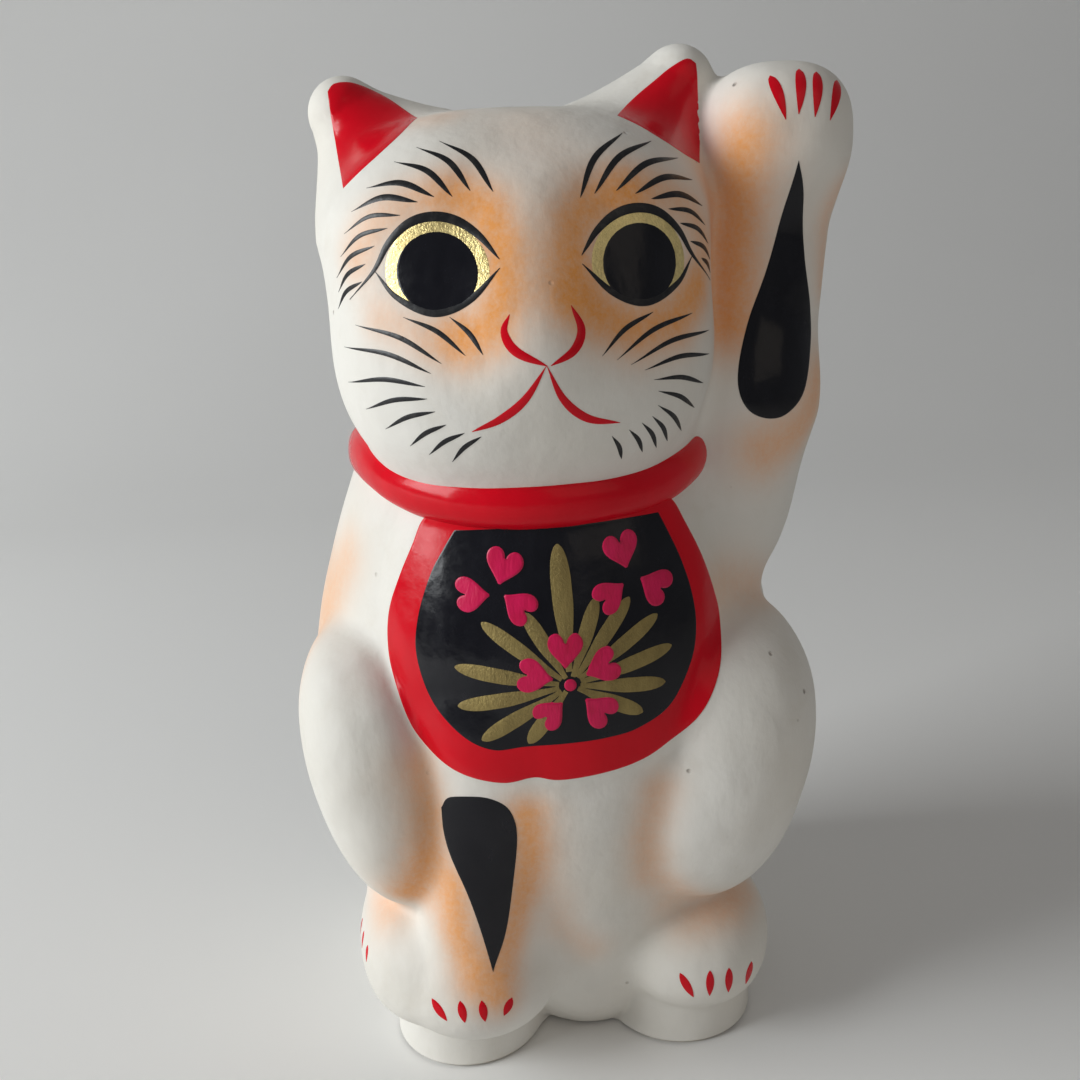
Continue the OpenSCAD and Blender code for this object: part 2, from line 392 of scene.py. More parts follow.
def to_path(points, path):
    """Distance from each point to a path of straight lines."""
    away = np.full(len(points), np.inf)
    for a, b in zip(np.array(path[:-1], float), np.array(path[1:], float)):
        along = b - a
        t = np.clip((points - a) @ along / (along @ along), 0, 1)
        away = np.minimum(away, np.linalg.norm(points - a - t[:, None] * along, axis=1))
    return away


def skin():
    """The moulded skin's points, normals and the faces of its front and back halves."""
    axes = [np.arange(LOW[i], HIGH[i], CELL) for i in range(3)]
    points, faces = surface_net(form_on_grid(axes))
    points = relaxed(points * CELL + np.array(LOW), faces, 3)
    middle = points[faces].mean(1)
    kept = middle[:, 2] > RIM_Z
    front = middle[:, 1] < SEAM_Y
    on_seam = np.intersect1d(faces[kept & front], faces[kept & ~front])
    on_rim = np.intersect1d(faces[kept], faces[~kept])
    held = np.zeros(points.shape, bool)
    held[on_seam, 1] = True
    held[on_rim, 2] = True
    points[on_seam, 1] = SEAM_Y
    points[on_rim, 2] = RIM_Z
    edge = np.unique(np.concatenate([on_seam, on_rim]))
    points[edge] = settled(points[edge], held[edge], 6)
    normals = unit(slope(points))
    points = points + normals * creases(points.T)[:, None]
    return points, normals, held, faces[kept & front], faces[kept & ~front]


def shell(name, points, normals, held, faces, material, replaced):
    """One half of the figure: its outside, the inside a wall's thickness in, and the rims."""
    used, local = np.unique(faces, return_inverse=True)
    outside, facing, held = points[used], normals[used], held[used]
    inside = np.where(held, outside, outside - facing * WALL)
    closed = thickened([tuple(f) for f in local.reshape(-1, 4)], len(used))
    made = piece(name, np.concatenate([outside, inside]), closed, material,
                 np.concatenate([facing, -facing]), replaced)
    cover = np.zeros(len(used))
    for radius, strength, path in BLUSH:
        away = to_path(outside, path) / radius
        cover = cover + (1 - cover) * strength * np.exp(-0.6 * away ** 2)
    made.data.attributes.new("blush", "FLOAT", "POINT")
    made.data.attributes["blush"].data.foreach_set("value", np.concatenate([cover, 0 * cover]))


# ---- paint films

BEAD = 0.45  # width of the rounded edge of a paint film
SUNK = 0.25  # how far a film's underside lies in the skin
EDGE_SHARE = 0.35  # share of a film's height left at its edge
ACROSS = np.array([-1, -0.6, 0, 0.6, 1])  # points across a stroke, in half widths
CROWN = np.array([0, 0.8, 1, 0.8, 0])  # and how high they stand
THIN, COAT, GLOSSY = 0.08, 0.1, 0.15  # heights of paint
LAYING_STEPS = 70  # steps that carry a drawn point to the figure


class Chart:
    """A flat drawing and the direction in which it is laid on the figure."""

    def __init__(self, start, across, up):
        self.start = np.array(start, float)
        self.across = np.array(across, float)
        self.up = np.array(up, float)
        self.onward = -np.cross(self.across, self.up)

    def laid(self, drawn):
        """Places on the figure, and normals, for drawn points."""
        p = self.start + drawn[:, :1] * self.across + drawn[:, 1:] * self.up
        for _ in range(LAYING_STEPS):
            p = p + np.clip(form(p.T) * 0.85, -1, 4)[:, None] * self.onward
        return p, unit(slope(p))


LEAN = math.sqrt(0.5)
FRONT = Chart((0, -80, 0), (1, 0, 0), (0, 0, 1))
BACK = Chart((0, 80, 0), (-1, 0, 0), (0, 0, 1))
LEFT = Chart((-80, 0, 0), (0, -1, 0), (0, 0, 1))
ABOVE_BACK = Chart((0, 90, 230), (-1, 0, 0), (0, -LEAN, LEAN))


def smooth(t):
    """From 0 to 1 with a soft start and end."""
    t = np.clip(t, 0, 1)
    return t * t * (3 - 2 * t)


def curve(points, closed=False, step=0.45):
    """A smooth line through the points, with points about step apart."""
    p = np.array(points, float)
    if closed:
        p = np.concatenate([p[-1:], p, p[:2]])
    else:
        p = np.concatenate([2 * p[:1] - p[1:2], p, 2 * p[-1:] - p[-2:-1]])
    out = []
    for a, b, c, d in zip(p, p[1:], p[2:], p[3:]):
        n = max(2, int(np.linalg.norm(c - b) / step))
        t = (np.arange(n) / n)[:, None]
        out.append(0.5 * (2 * b + (c - a) * t + (2 * a - 5 * b + 4 * c - d) * t ** 2
                          + (3 * b - a - 3 * c + d) * t ** 3))
    if not closed:
        out.append(p[-2:-1])
    return np.concatenate(out)


def cornered(*sides):
    """A closed outline from smooth sides that meet at corners."""
    return np.concatenate([curve(side)[:-1] for side in sides])


def to_outline(p, outline):
    """Distance from the points p to a closed outline, and whether they lie inside it."""
    a, b = outline, np.roll(outline, -1, 0)
    ab = b - a
    t = ((p[:, None] - a) * ab).sum(2) / np.maximum((ab * ab).sum(1), 1e-9)
    near = a + np.clip(t, 0, 1)[..., None] * ab
    away = np.sqrt(((p[:, None] - near) ** 2).sum(2)).min(1)
    spans = (a[:, 1] > p[:, 1:]) != (b[:, 1] > p[:, 1:])
    rise = np.where(ab[:, 1] == 0, 1e-9, ab[:, 1])
    x = a[:, 0] + (p[:, 1:] - a[:, 1]) * ab[:, 0] / rise
    return away, (spans & (p[:, :1] < x)).sum(1) % 2 == 1


def filled(outline, lift, spacing=1.1):
    """A flat-drawn film inside an outline: points, triangles and heights."""
    x, z = outline.T
    area = (x * np.roll(z, -1) - np.roll(x, -1) * z).sum()
    if area < 0:
        outline = outline[::-1]
    along = unit(np.roll(outline, -1, 0) - np.roll(outline, 1, 0))
    ring = outline + BEAD * np.stack([-along[:, 1], along[:, 0]], 1)
    low, high = outline.min(0), outline.max(0)
    rows = np.arange(low[1], high[1], spacing * 0.87)
    places = np.arange(low[0], high[0], spacing)
    inner = [(x + spacing / 2 * (i % 2), z) for i, z in enumerate(rows) for x in places]
    inner = np.array(inner).reshape(-1, 2)
    away, within = to_outline(inner, outline)
    inner = inner[within & (away > BEAD + spacing / 2)]
    away, within = to_outline(ring, outline)
    ring = ring[within & (away > BEAD * 0.9)]
    drawn = np.concatenate([outline, ring, inner])
    n = len(outline)
    edges = [(i, (i + 1) % n) for i in range(n)]
    flat, _, faces, *_ = delaunay_2d_cdt([Vector(v) for v in drawn], edges, [], 1, 1e-5)
    flat = np.array([tuple(v) for v in flat])
    away = to_outline(flat, outline)[0]
    height = lift * (EDGE_SHARE + (1 - EDGE_SHARE) * smooth(away / BEAD))
    return flat, [tuple(f) for f in faces], height, away / BEAD


def pressed(fullest, ends=0.06, blunt=0.8):
    """The width along a stroke, as a share: widest at the share fullest of its length."""
    power = math.log(0.5) / math.log(fullest)
    return lambda t: np.maximum(np.sin(math.pi * t ** power) ** blunt, ends)


def needle_like(t):
    """The width along a needle: narrow at its start, full past its middle, drawn in at its tip."""
    body = 0.32 + 0.68 * smooth(t / 0.58)
    return body * np.sqrt(np.clip(1 - (np.maximum(t - 0.7, 0) / 0.3) ** 2, 0.01, 1))


def brushed(path, width, lift, profile, above=0.0):
    """A brush stroke along a path, as wide as the profile says, on paint already above the skin."""
    line = curve(path)
    gone = np.concatenate([[0], np.cumsum(np.linalg.norm(np.diff(line, axis=0), axis=1))])
    t = gone / gone[-1]
    half = profile(t) * width / 2
    along = unit(np.gradient(line, axis=0))
    side = np.stack([-along[:, 1], along[:, 0]], 1)
    drawn = line[:, None] + side[:, None] * (half[:, None] * ACROSS)[..., None]
    body = np.minimum(half / half.max(), 1)[:, None]
    height = above + lift * (EDGE_SHARE + (1 - EDGE_SHARE) * body * CROWN)
    faces = []
    wide = len(ACROSS)
    for i in range(len(line) - 1):
        for j in range(wide - 1):
            first = wide * i + j
            faces.append((first, first + wide, first + wide + 1, first + 1))
    return drawn.reshape(-1, 2), faces, height.ravel(), np.zeros(len(line) * wide)


def bowed(ends, bow):
    """A stroke's path between two ends, bowed to the left of its way by a share of its length."""
    (x0, z0), (x1, z1) = ends
    dx, dz = x1 - x0, z1 - z0
    return [(x0, z0), (x0 + dx / 2 - dz * bow, z0 + dz / 2 + dx * bow), (x1, z1)]


def painted(name, chart, films, material):
    """One piece of dried paint: closed films that lie on the figure and are sunk a little in it."""
    drawn = np.concatenate([f[0] for f in films])
    height = np.concatenate([f[2] for f in films])[:, None]
    inward = np.clip(np.concatenate([f[3] for f in films]), 0, 1)[:, None]
    place, normal = chart.laid(drawn)
    top = place + normal * height
    first = 0
    tops = []
    for flat, own, _, _ in films:
        tops += [tuple(i + first for i in f) for f in own]
        first += len(flat)
    faces = thickened(tops, len(drawn))
    shaped = np.zeros_like(top)
    for f in tops:
        corner = top[list(f)]
        shaped[list(f)] += np.cross(corner[1] - corner[0], corner[2] - corner[0])
    shaped = unit(shaped)
    facing = unit(normal * inward + shaped * (1 - inward))
    points = np.concatenate([top, place - normal * SUNK])
    piece(name, points, faces, material, np.concatenate([facing, -normal]))


# ---- materials


def shader(name, colour, roughness, **inputs):
    """A new material, its node tree and its shader."""
    made = bpy.data.materials.new(name)
    made.use_nodes = True
    tree = made.node_tree
    base = tree.nodes["Principled BSDF"]
    base.inputs["Base Color"].default_value = (*colour, 1)
    base.inputs["Roughness"].default_value = roughness
    for socket, value in inputs.items():
        base.inputs[socket.replace("_", " ")].default_value = value
    made.diffuse_color = (*colour, 1)
    return made, tree, base


def place_in(tree):
    return tree.nodes.new("ShaderNodeTexCoord").outputs["Object"]


def noise(tree, scale, detail=3.0, roughness=0.5, stretch=None):
    """Noise with scale features to the metre."""
    node = tree.nodes.new("ShaderNodeTexNoise")
    node.inputs["Scale"].default_value = scale
    node.inputs["Detail"].default_value = detail
    node.inputs["Roughness"].default_value = roughness
    where = place_in(tree)
    if stretch:
        mapping = tree.nodes.new("ShaderNodeMapping")
        mapping.inputs["Scale"].default_value = stretch
        tree.links.new(where, mapping.inputs["Vector"])
        where = mapping.outputs["Vector"]
    tree.links.new(where, node.inputs["Vector"])
    return node.outputs["Fac"]


def ranged(tree, value, low, high, to_low=0.0, to_high=1.0):
    """A value's range from low to high spread over another range."""
    node = tree.nodes.new("ShaderNodeMapRange")
    for socket, number in zip(("From Min", "From Max", "To Min", "To Max"), (low, high, to_low, to_high)):
        node.inputs[socket].default_value = number
    tree.links.new(value, node.inputs["Value"])
    return node.outputs["Result"]


def combined(tree, kind, a, b):
    """Two values put together by a kind of sum; b may be a plain number."""
    node = tree.nodes.new("ShaderNodeMath")
    node.operation = kind
    for socket, value in zip(node.inputs, (a, b)):
        if isinstance(value, float):
            socket.default_value = value
        else:
            tree.links.new(value, socket)
    return node.outputs["Value"]


def times(tree, a, b):
    """Two values multiplied."""
    return combined(tree, "MULTIPLY", a, b)


def mixed(tree, share, a, b):
    """Two colours mixed by a share; either may be the output of a node."""
    node = tree.nodes.new("ShaderNodeMix")
    node.data_type = "RGBA"
    tree.links.new(share, node.inputs["Factor"])
    for socket, value in zip((node.inputs[6], node.inputs[7]), (a, b)):
        if isinstance(value, tuple):
            socket.default_value = (*value, 1)
        else:
            tree.links.new(value, socket)
    return node.outputs[2]


def coloured(tree, base, share, a, b):
    """Gives a surface two colours, mixed by a share."""
    tree.links.new(mixed(tree, share, a, b), base.inputs["Base Color"])


def bumped(tree, base, height, distance, strength=1.0):
    """Relief of a height from 0 to 1 over a distance in metres."""
    node = tree.nodes.new("ShaderNodeBump")
    node.inputs["Strength"].default_value = strength
    node.inputs["Distance"].default_value = distance
    tree.links.new(height, node.inputs["Height"])
    tree.links.new(node.outputs["Normal"], base.inputs["Normal"])


def spots(tree, scale, size):
    """Small round spots: 1 in each spot's middle, 0 outside."""
    node = tree.nodes.new("ShaderNodeTexVoronoi")
    node.inputs["Scale"].default_value = scale
    tree.links.new(place_in(tree), node.inputs["Vector"])
    return ranged(tree, node.outputs["Distance"], 0.0, size, 1.0, 0.0)


def shell_white():
    """Matt gesso white over paper, sprayed with orange, with brush marks and pinholes whose dark colour is
    partly dirt and partly painted shade.
    """
    made, tree, base = shader("shell_white", (0.80, 0.78, 0.73), 0.62, Specular_IOR_Level=0.35)
    clouds = ranged(tree, noise(tree, 38, 4), 0.35, 0.7)
    paper = mixed(tree, clouds, (0.80, 0.775, 0.72), (0.75, 0.715, 0.645))
    grime = ranged(tree, noise(tree, 120, 6, 0.7), 0.55, 0.8, 0.0, 0.35)
    paper = mixed(tree, grime, paper, (0.66, 0.60, 0.51))
    spray = tree.nodes.new("ShaderNodeAttribute")
    spray.attribute_name = "blush"
    grain = ranged(tree, noise(tree, 900, 3, 0.8), 0.3, 0.7, 0.82, 1.12)
    amount = times(tree, spray.outputs["Fac"], grain)
    paper = mixed(tree, amount, paper, (0.88, 0.36, 0.09))
    # the pinholes are sunk a little and coloured dark brown: partly dirt, partly painted shade in the holes
    pits = times(tree, spots(tree, 190, 0.09), ranged(tree, noise(tree, 60, 2), 0.56, 0.6))
    coloured(tree, base, times(tree, pits, 0.75), paper, (0.30, 0.24, 0.19))
    tree.links.new(ranged(tree, noise(tree, 260, 4), 0.3, 0.7, 0.52, 0.72), base.inputs["Roughness"])
    brush = noise(tree, 420, 4, 0.6, (1.0, 1.0, 0.35))
    pulp = noise(tree, 130, 3, 0.55)
    lumps = noise(tree, 55, 2)
    relief = times(tree, brush, 0.12)
    relief = combined(tree, "ADD", relief, times(tree, pulp, 0.45))
    relief = combined(tree, "ADD", relief, times(tree, lumps, 1.5))
    relief = combined(tree, "SUBTRACT", relief, times(tree, pits, 0.8))
    bumped(tree, base, relief, 0.0008, 0.9)
    return made


def enamel(name, colour, worn, roughness, gloss):
    """Glossy brushed enamel whose colour is a little thinner in places."""
    made, tree, base = shader(name, colour, roughness, Specular_IOR_Level=gloss)
    thin = ranged(tree, noise(tree, 160, 5, 0.6, (1.0, 1.0, 0.4)), 0.4, 0.75)
    coloured(tree, base, thin, colour, worn)
    haze = ranged(tree, noise(tree, 500, 4, 0.7), 0.3, 0.75, roughness * 0.8, roughness * 1.7)
    tree.links.new(haze, base.inputs["Roughness"])
    swell = combined(tree, "ADD", noise(tree, 110, 2), times(tree, noise(tree, 700, 3), 0.12))
    bumped(tree, base, swell, 0.0003, 0.8)
    return made


def brush_black():
    """Thin black ink-like paint, greyer where the brush ran dry."""
    made, tree, base = shader("brush_black", (0.012, 0.012, 0.014), 0.36, Specular_IOR_Level=0.35)
    dry = ranged(tree, noise(tree, 600, 4, 0.7), 0.5, 0.8)
    coloured(tree, base, dry, (0.009, 0.009, 0.011), (0.04, 0.038, 0.036))
    bumped(tree, base, noise(tree, 900, 3), 0.0001, 0.7)
    return made


def gold(name, colour, dull, scale, stretch, roughness):
    """Bronze powder paint with flecks and brush streaks."""
    made, tree, base = shader(name, colour, roughness, Metallic=0.85)
    streak = ranged(tree, noise(tree, scale, 5, 0.7, stretch), 0.35, 0.68)
    flecks = ranged(tree, noise(tree, 2600, 2, 0.8), 0.4, 0.7, 0.0, 0.6)
    tone = mixed(tree, streak, colour, dull)
    coloured(tree, base, flecks, tone, tuple(c * 1.15 for c in colour))
    tree.links.new(ranged(tree, flecks, 0, 0.6, roughness, roughness * 1.4), base.inputs["Roughness"])
    bumped(tree, base, combined(tree, "ADD", streak, flecks), 0.00008, 0.8)
    return made


def enamel_pink():
    """Thick opaque pink with the ridges of the brush."""
    made, tree, base = shader("enamel_pink", (0.66, 0.006, 0.085), 0.34, Specular_IOR_Level=0.35)
    tone = ranged(tree, noise(tree, 300, 4), 0.35, 0.7)
    coloured(tree, base, tone, (0.68, 0.006, 0.09), (0.56, 0.004, 0.06))
    ridges = noise(tree, 900, 3, 0.6, (1.0, 1.0, 0.3))
    bumped(tree, base, ridges, 0.0002, 0.7)
    return made


def fibres(name, colour, dark, scale, roughness=0.85):
    """Plain paper or board with visible fibres."""
    made, tree, base = shader(name, colour, roughness)
    clumps = ranged(tree, noise(tree, scale, 6, 0.7, (1.0, 0.35, 1.0)), 0.35, 0.7)
    coloured(tree, base, clumps, colour, dark)
    bumped(tree, base, noise(tree, scale * 3, 4, 0.7), 0.0002, 0.7)
    return made


def clay():
    """Dry grey-brown clay with grit."""
    made, tree, base = shader("clay", (0.33, 0.25, 0.19), 0.9)
    grit = spots(tree, 420, 0.3)
    body = mixed(tree, ranged(tree, noise(tree, 90, 5), 0.3, 0.7), (0.36, 0.28, 0.21), (0.27, 0.20, 0.15))
    coloured(tree, base, grit, body, (0.46, 0.40, 0.33))
    bumped(tree, base, combined(tree, "ADD", noise(tree, 260, 6, 0.7), grit), 0.0005, 0.8)
    return made


WHITE = shell_white()
RED = enamel("enamel_red", (0.66, 0.0015, 0.012), (0.60, 0.001, 0.010), 0.16, 0.22)
BLACK = enamel("enamel_black", (0.004, 0.004, 0.007), (0.010, 0.010, 0.014), 0.14, 0.3)
INK = brush_black()
PINK = enamel_pink()
EYE_GOLD = gold("gold_eye", (0.88, 0.72, 0.33), (0.66, 0.52, 0.22), 500, (1.0, 1.0, 1.0), 0.34)
BIB_GOLD = gold("gold_bib", (0.34, 0.26, 0.10), (0.20, 0.15, 0.06), 260, (1.0, 1.0, 0.25), 0.48)
STRIP = fibres("strip_paper", (0.70, 0.63, 0.50), (0.58, 0.50, 0.38), 140)
BOARD = fibres("grey_board", (0.42, 0.39, 0.35), (0.33, 0.30, 0.26), 220)
COVER = fibres("cover_paper", (0.74, 0.70, 0.62), (0.62, 0.57, 0.48), 160)
CLAY = clay()

# ---- the figure's paint


def ears():
    """The red insides of the ears, each a triangle with curved sides."""
    left = cornered([(-32.6, 170.8), (-31.6, 172.0), (-29, 172.2), (-26, 171.2), (-22.8, 169.3),
                     (-18.6, 165.8)],
                    [(-18.6, 165.8), (-21.2, 162.9), (-24.3, 160.2), (-27.4, 157.8), (-30.3, 155.5)],
                    [(-30.3, 155.5), (-31.4, 160.2), (-32.2, 165.7), (-32.6, 170.8)])
    right = cornered([(12.3, 164.7), (16.3, 168.0), (19.9, 170.6), (22.6, 172.5), (25.4, 173.8),
                      (26.8, 173.0)],
                     [(26.8, 173.0), (27.0, 168), (26.8, 162), (26.0, 157.4)],
                     [(26.0, 157.4), (22.6, 158.6), (18.3, 161.0), (15.4, 162.9), (12.3, 164.7)])
    painted("ear_paint", FRONT, [filled(left, 0.14), filled(right, 0.14)], RED)


EYES = (-17.0, 12.6)  # middles of the eyes
EYE_Z = 143.1


def lower_lid(middle, side):
    """The lower lid's line, from the outer corner to the nose; side is -1 for the viewer's left."""
    drawn = ((9.0, 0.3), (6.0, -3.4), (0.8, -5.65), (-4.4, -4.0), (-8.9, 0.2))
    return [(middle + side * x, EYE_Z + z) for x, z in drawn]


def black_shape(name, chart, outline, lift, spacing=1.1):
    """One piece made of one filled black outline."""
    painted(name, chart, [filled(outline, lift, spacing)], BLACK)


def upper_lid(middle, side):
    """The upper lid's line, with its long tail at the outer corner."""
    drawn = ((13.3, -3.7), (9.2, 0.4), (6.7, 4.2), (3.6, 6.8),
             (0.2, 7.6), (-3.2, 6.9), (-6.3, 4.7), (-8.9, 1.4))
    return [(middle + side * x, EYE_Z + z) for x, z in drawn]


def iris(middle, side):
    """The gold disc of an eye, cut off by the lower lid."""
    turn = np.linspace(0, 2 * math.pi, 64, endpoint=False)
    disc = np.stack([middle + 7.45 * np.cos(turn), EYE_Z + 7.0 * np.sin(turn)], 1)
    lid = curve(lower_lid(middle, side))
    lid = lid[np.argsort(lid[:, 0])]
    disc[:, 1] = np.maximum(disc[:, 1], np.interp(disc[:, 0], lid[:, 0], lid[:, 1]))
    return disc


def pupil(middle):
    turn = np.linspace(0, 2 * math.pi, 56, endpoint=False)
    return np.stack([middle + 0.05 + 5.95 * np.cos(turn), EYE_Z - 0.15 + 5.75 * np.sin(turn)], 1)


def eyes():
    """Gold discs, black pupils on them, and the lids."""
    gold_discs, pupils, lids = [], [], []
    for middle, side in zip(EYES, (-1, 1)):
        gold_discs.append(filled(iris(middle, side), 0.07))
        pupils.append(filled(pupil(middle), 0.13))
        lids.append(brushed(upper_lid(middle, side), 1.38, GLOSSY, pressed(0.64, blunt=0.7)))
        lids.append(brushed(lower_lid(middle, side), 1.25, GLOSSY, pressed(0.5)))
    painted("iris_paint", FRONT, gold_discs, EYE_GOLD)
    painted("pupil_paint", FRONT, pupils, BLACK)
    painted("lid_strokes", FRONT, lids, INK)


FULL_STROKES = 5
LEFT_BROW = [  # each stroke from its outer end to its inner end
    ((-15.4, 161.3), (-8.3, 153.7)), ((-18.8, 160.6), (-11.5, 154.0)), ((-22.2, 158.7), (-14.1, 153.3)),
    ((-26.5, 155.2), (-16.7, 153.4)), ((-29.0, 152.0), (-19.1, 152.8)), ((-30.4, 148.9), (-21.7, 151.1)),
    ((-31.3, 145.6), (-23.7, 149.4)), ((-32.3, 142.5), (-25.8, 147.0)), ((-32.2, 140.4), (-27.4, 144.5)),
    ((-32.5, 137.9), (-28.1, 142.0)),
]
RIGHT_BROW = [  # each stroke from its inner end to its outer end
    ((4.1, 152.4), (11.9, 161.6)), ((6.3, 152.9), (16.5, 160.4)), ((9.6, 153.2), (20.9, 157.9)),
    ((12.5, 152.7), (23.0, 154.6)), ((15.0, 151.9), (24.5, 150.7)), ((17.7, 150.4), (24.9, 147.8)),
    ((19.6, 148.3), (25.6, 145.0)), ((21.4, 145.6), (26.2, 142.5)), ((23.6, 143.0), (26.1, 140.5)),
]
LEFT_WHISKERS = [
    ((-29.7, 135.7), (-17.2, 130.3)), ((-22.3, 136.9), (-13.7, 131.4)), ((-15.6, 136.8), (-11.2, 131.5)),
    ((-31.9, 132.3), (-18.8, 128.9)), ((-31.8, 126.9), (-19.8, 127.0)), ((-29.2, 123.0), (-19.6, 125.2)),
    ((-26.4, 120.1), (-18.6, 123.3)), ((-22.8, 117.6), (-17.1, 121.3)), ((-20.0, 116.3), (-14.5, 120.0)),
    ((-16.6, 115.2), (-12.1, 119.4)),
]
RIGHT_WHISKERS = [
    ((5.9, 130.4), (14.3, 135.9)), ((8.2, 129.6), (21.2, 135.1)), ((10.4, 128.7), (24.8, 132.0)),
    ((12.6, 127.7), (24.8, 128.3)), ((14.1, 126.1), (23.6, 123.9)), ((14.8, 124.3), (22.1, 120.1)),
    ((14.8, 122.1), (19.9, 116.6)), ((13.9, 120.5), (17.2, 115.5)), ((12.2, 119.7), (15.2, 114.8)),
    ((10.1, 118.9), (12.7, 114.6)), ((7.4, 118.2), (9.2, 114.0)),
]


# strokes, bow, width, what the first ones have more, and where they are fullest
BROWS = ((LEFT_BROW, 0.13, 0.62, 0.28, 0.6), (RIGHT_BROW, 0.12, 0.7, 0.22, 0.45))


def face_strokes():
    """Brows, whose first strokes are fuller, and whiskers."""
    brows = []
    for brow, bow, width, more, fullest in BROWS:
        for i, ends in enumerate(brow):
            full = width + more * (i < FULL_STROKES)
            brows.append(brushed(bowed(ends, bow), full, THIN, pressed(fullest)))
    painted("brow_strokes", FRONT, brows, INK)
    whiskers = []
    for ends in LEFT_WHISKERS + RIGHT_WHISKERS:
        whiskers.append(brushed(bowed(ends, 0.08), 0.74, THIN, pressed(0.55)))
    painted("whisker_strokes", FRONT, whiskers, INK)


def strokes(name, chart, paths, width, fullest):
    """One piece made of red strokes of the same width."""
    films = [brushed(path, width, COAT, pressed(fullest)) for path in paths]
    painted(name, chart, films, RED)


def muzzle():
    """The nose and the mouth, each drawn as two red strokes."""
    nose_left = [(-7.2, 137.0), (-8.1, 134.6), (-6.6, 131.9), (-2.3, 129.7)]
    nose_right = [(1.6, 137.8), (2.9, 134.4), (1.6, 131.6), (-1.8, 129.7)]
    mouth_left = [(-2.4, 129.8), (-5.6, 124.9), (-9.2, 122.0), (-13.4, 120.2)]
    mouth_right = [(-2.4, 129.8), (0.0, 124.6), (3.6, 121.4), (8.6, 120.2)]
    strokes("nose_strokes", FRONT, (nose_left, nose_right), 1.35, 0.5)
    strokes("mouth_strokes", FRONT, (mouth_left, mouth_right), 1.3, 0.55)


def claws():
    """Red claws, each drawn from its root to its tip."""
    paw = [((36.2, 169.6), (37.9, 162.9)), ((41.0, 170.5), (39.9, 163.6)),
           ((43.7, 170.0), (42.5, 163.1)), ((47.4, 168.8), (45.1, 162.6))]
    forefoot = [((-26.3, 20.4), (-23.9, 17.2)), ((-21.4, 20.9), (-20.8, 17.2)),
                ((-17.7, 20.9), (-17.3, 17.2)), ((-12.4, 20.3), (-14.0, 17.6))]
    hind = [((18.0, 19.0), (20.4, 13.8)), ((23.3, 19.4), (23.3, 13.9)),
            ((26.9, 19.2), (26.9, 13.8)), ((31.7, 18.2), (30.6, 13.8))]
    side = [((28.5, 22.5), (29.3, 19.5)), ((24.5, 22.8), (25, 19.4)), ((20.5, 22.8), (20.5, 19.5))]
    strokes("paw_claws", FRONT, paw, 1.7, 0.32)
    strokes("forefoot_claws", FRONT, forefoot, 1.5, 0.45)
    strokes("hind_foot_claws", FRONT, hind, 1.5, 0.42)
    strokes("side_claws", LEFT, side, 1.3, 0.4)


DROP_COAT = 0.17


def drops():
    """The long black drops on the raised arm and on the straight foreleg."""
    arm = curve([(40.2, 156.9), (42.2, 150.9), (43.5, 141.2), (45.0, 133.6), (45.2, 128), (43.4, 120.4),
                 (40.2, 117.0), (36.9, 116.2), (33.4, 117.5), (31.6, 120.6), (31.6, 125), (33.6, 132.2),
                 (36.6, 140.3), (38.7, 147.8), (40.2, 156.9)])
    leg = cornered([(-22.2, 56.6), (-20.6, 59.0), (-15.7, 59.8), (-12.3, 58.6), (-10.6, 56.2),
                    (-10.0, 52), (-10.8, 44.2), (-12.7, 33), (-15.4, 25.2)],
                   [(-15.4, 25.2), (-17.1, 34), (-18.9, 41), (-21.2, 47.5), (-22.1, 52), (-22.2, 56.6)])
    black_shape("arm_drop", FRONT, arm[:-1], DROP_COAT)
    black_shape("foreleg_drop", FRONT, leg, DROP_COAT)


COLLAR = dict(middle=(-2.0, -6.3), reach=(30.6, 33.4), outside=4.15, inside=3.3, flatness=46)
COLLAR_POINTS = (160, 29)  # round the neck, and round the roll


def collar_height(y):
    """The collar's middle line: low at the throat and higher round the sides."""
    return 107.3 + 4.2 * smooth((y + 41) / 26)


def collar_roll():
    """The padded collar, a hollow C-shaped roll that dives into the skin above and below."""
    (cx, cy), (rx, ry) = COLLAR["middle"], COLLAR["reach"]
    around = np.linspace(0, 2 * math.pi, COLLAR_POINTS[0], endpoint=False)
    over = np.radians(np.linspace(-150, 150, COLLAR_POINTS[1]))
    t, a = np.meshgrid(around, over, indexing="ij")
    ring_x, ring_y = cx + rx * np.cos(t), cy + ry * np.sin(t)
    out = unit(np.stack([np.cos(t) / rx, np.sin(t) / ry], -1))
    facing = np.stack([out[..., 0] * np.cos(a), out[..., 1] * np.cos(a), np.sin(a)], -1)
    facing = facing.reshape(-1, 3)
    middle = np.stack([ring_x, ring_y, collar_height(ring_y)], -1).reshape(-1, 3)
    uneven = 0.05 * np.sin(9 * t + 2 * a) + 0.03 * np.sin(23 * t - 3 * a)
    # the roll reaches less far outwards than up and down
    swell = np.array([rx, ry, COLLAR["flatness"]]) / COLLAR["flatness"]
    outer = middle + facing * swell * (COLLAR["outside"] + uneven.reshape(-1, 1))
    rows, columns = t.shape
    faces = []
    for i in range(rows):
        for j in range(columns - 1):
            first = i * columns + j
            second = (i + 1) % rows * columns + j
            faces.append((first, second, second + 1, first + 1))
    points = np.concatenate([outer, middle + facing * swell * COLLAR["inside"]])
    piece("collar_roll", points, thickened(faces, len(outer)), RED,
          np.concatenate([facing / swell, -facing / swell]))


